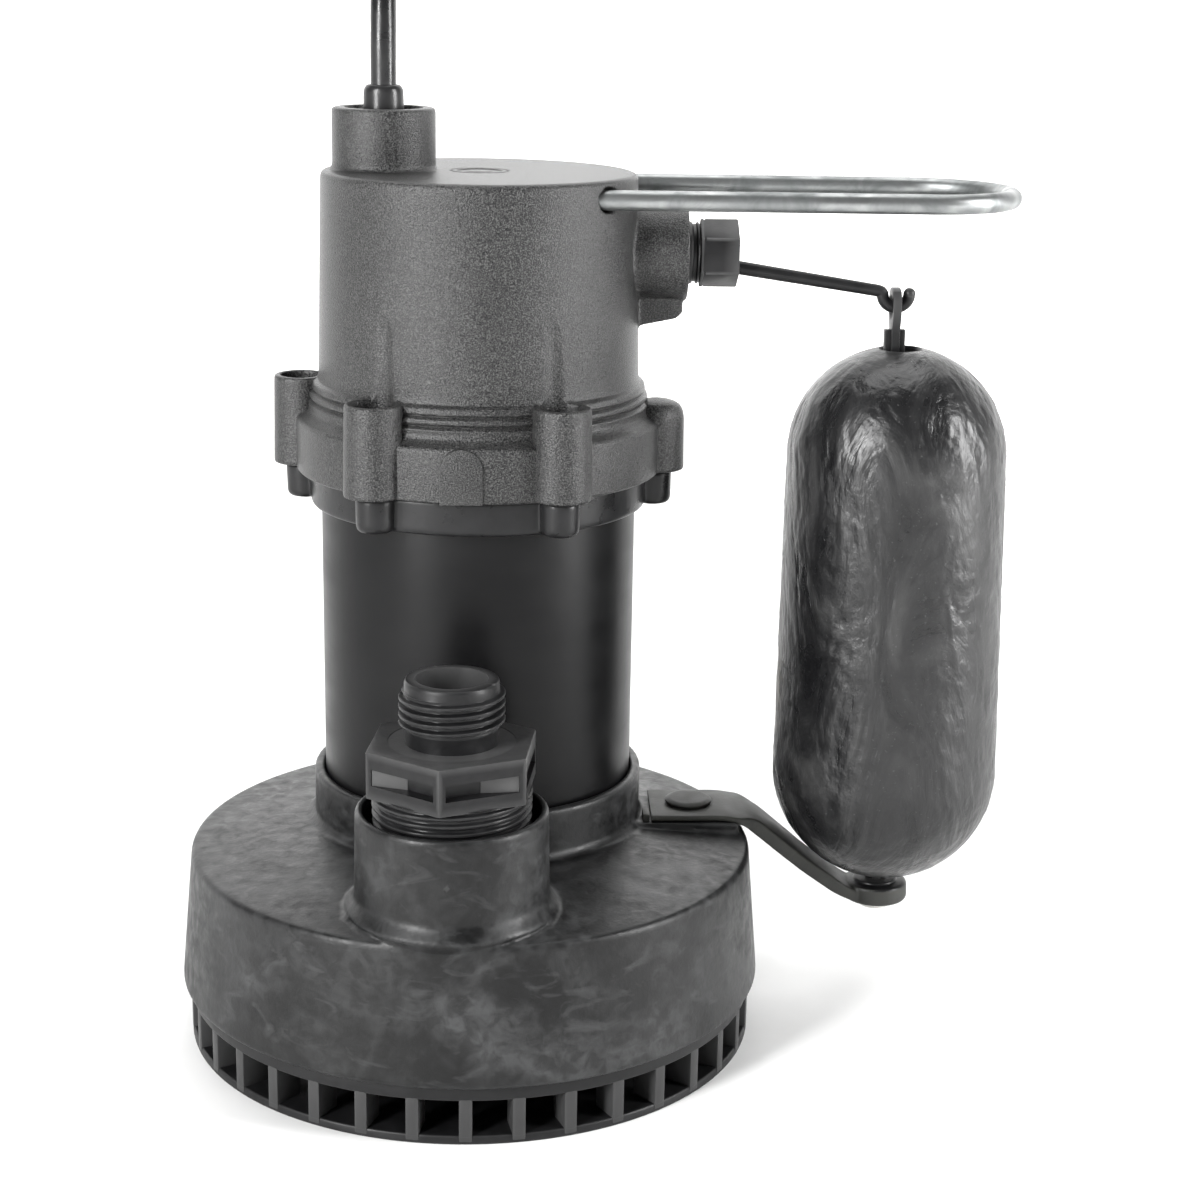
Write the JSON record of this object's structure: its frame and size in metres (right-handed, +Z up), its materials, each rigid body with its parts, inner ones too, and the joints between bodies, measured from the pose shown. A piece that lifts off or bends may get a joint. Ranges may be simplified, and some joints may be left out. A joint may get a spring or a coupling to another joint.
{
  "type": "submersible sump pump",
  "caption": "Submersible sump pump: slotted intake drum, motor tube, screwed top cover with level handle, threaded discharge adapter, and a float on a rod that works a switch arm.",
  "frame": {"origin": "centre of the motor axis on the floor plane, at the underside of the intake screen", "axes": "+Z up along the motor axis, +X towards the float switch, -Y towards the discharge fitting"},
  "size_m": [0.2299, 0.2756, 0.3033],
  "materials": {
    "housing": "moulded black glass-filled plastic, slightly mottled",
    "cover": "moulded dark grey glass-filled plastic with a fine sparkling grain",
    "fitting": "moulded black plastic, satin",
    "can": "smooth satin black paint",
    "zinc": "zinc-plated rod, slightly dull",
    "steel": "bright machined steel",
    "rubber": "soft black rubber",
    "cord": "black cord jacket",
    "strap": "olive black rubber, worn matt",
    "float": "blow-moulded black plastic, soft sheen and shallow wrinkles",
    "copper": "enamelled copper wire",
    "iron": "laminated or cast iron",
    "brass": "plug brass",
    "impeller": "moulded plastic",
    "switch": "switch case plastic"
  },
  "bodies": {
    "pump_body": {"intake_screen": "housing", "volute_plate": "housing", "volute_housing": "housing", "housing_screw_1": "steel", "housing_screw_2": "steel", "housing_screw_3": "steel", "housing_screw_4": "steel", "cover_screw_1": "steel", "cover_screw_2": "steel", "cover_screw_3": "steel", "cover_screw_4": "steel", "cover_screw_5": "steel", "lower_bearing": "steel", "upper_bearing": "steel", "discharge_adapter": "fitting", "lower_clamp_ring": "fitting", "switch_gland": "fitting", "gland_nut": "fitting", "cord_retainer": "fitting", "motor_tube": "can", "housing_o_ring": "rubber", "shaft_seal": "rubber", "cover_gasket": "rubber", "gland_diaphragm": "rubber", "cord_bushing": "rubber", "cord_tie": "cord", "power_cord": "cord", "cord_coil": "cord", "cord_tail": "cord", "plug_body": "cord", "lower_end_bell": "iron", "stator_core": "iron", "upper_bearing_plate": "iron", "stator_winding_lower": "copper", "stator_winding_upper": "copper", "thermal_protector": "switch", "snap_switch": "switch", "top_cover": "cover", "handle": "zinc", "switch_bracket": "zinc", "strap_anchor": "strap", "strap_button": "strap", "plug_blade_line": "brass", "plug_blade_neutral": "brass", "plug_ground_pin": "brass"},
    "rotor_assembly": {"rotor": "iron", "motor_shaft": "steel", "impeller": "impeller"},
    "switch_arm": {"switch_arm": "fitting", "switch_lever": "steel"},
    "plunger": {"switch_plunger": "fitting"},
    "float_rod": {"float_rod": "fitting", "float_foot": "fitting", "foot_clip": "fitting"},
    "float": {"float": "float", "float_plug": "rubber"},
    "strap": {"float_strap": "strap"},
    "strap_eye": {"strap_eye": "strap"}
  },
  "joints": [
    {"name": "rotor_spin", "type": "hinge", "parent": "pump_body", "child": "rotor_assembly", "pos_m": [0, 0, 0.1], "axis": [0, 0, 1], "continuous": true},
    {"name": "switch_arm_hinge", "type": "hinge", "parent": "pump_body", "child": "switch_arm", "pos_m": [0.0443, 0, 0.215], "axis": [0, -1, 0], "range_deg": [0, 14]},
    {"name": "float_rod_hinge", "type": "hinge", "parent": "switch_arm", "child": "float_rod", "pos_m": [0.1129, 0, 0.20095], "axis": [0, -1, 0], "range_deg": [-11.5, 0]},
    {"name": "float_spin", "type": "hinge", "parent": "float_rod", "child": "float", "pos_m": [0.1164, 0, 0.0371], "axis": [-0.0098, 0, 1], "continuous": true},
    {"name": "strap_hinge", "type": "hinge", "parent": "pump_body", "child": "strap", "pos_m": [0.0736, 0, 0.0589], "axis": [0, -1, 0], "range_deg": [0, 26.5]},
    {"name": "strap_tip_hinge", "type": "hinge", "parent": "strap", "child": "strap_eye", "pos_m": [0.105, 0, 0.0312], "axis": [0, -1, 0], "range_deg": [-23.8, 0]},
    {"name": "plunger_slide", "type": "slide", "parent": "pump_body", "child": "plunger", "axis": [0, 0, -1], "range_m": [0, 0.0047]}
  ],
  "couplings": [
    {"joint": "float_rod_hinge", "follows": "switch_arm_hinge", "ratio": -0.815},
    {"joint": "strap_hinge", "follows": "switch_arm_hinge", "ratio": 1.88},
    {"joint": "strap_tip_hinge", "follows": "switch_arm_hinge", "ratio": -1.695},
    {"joint": "plunger_slide", "follows": "switch_arm_hinge", "m_per_rad": 0.0188}
  ]
}
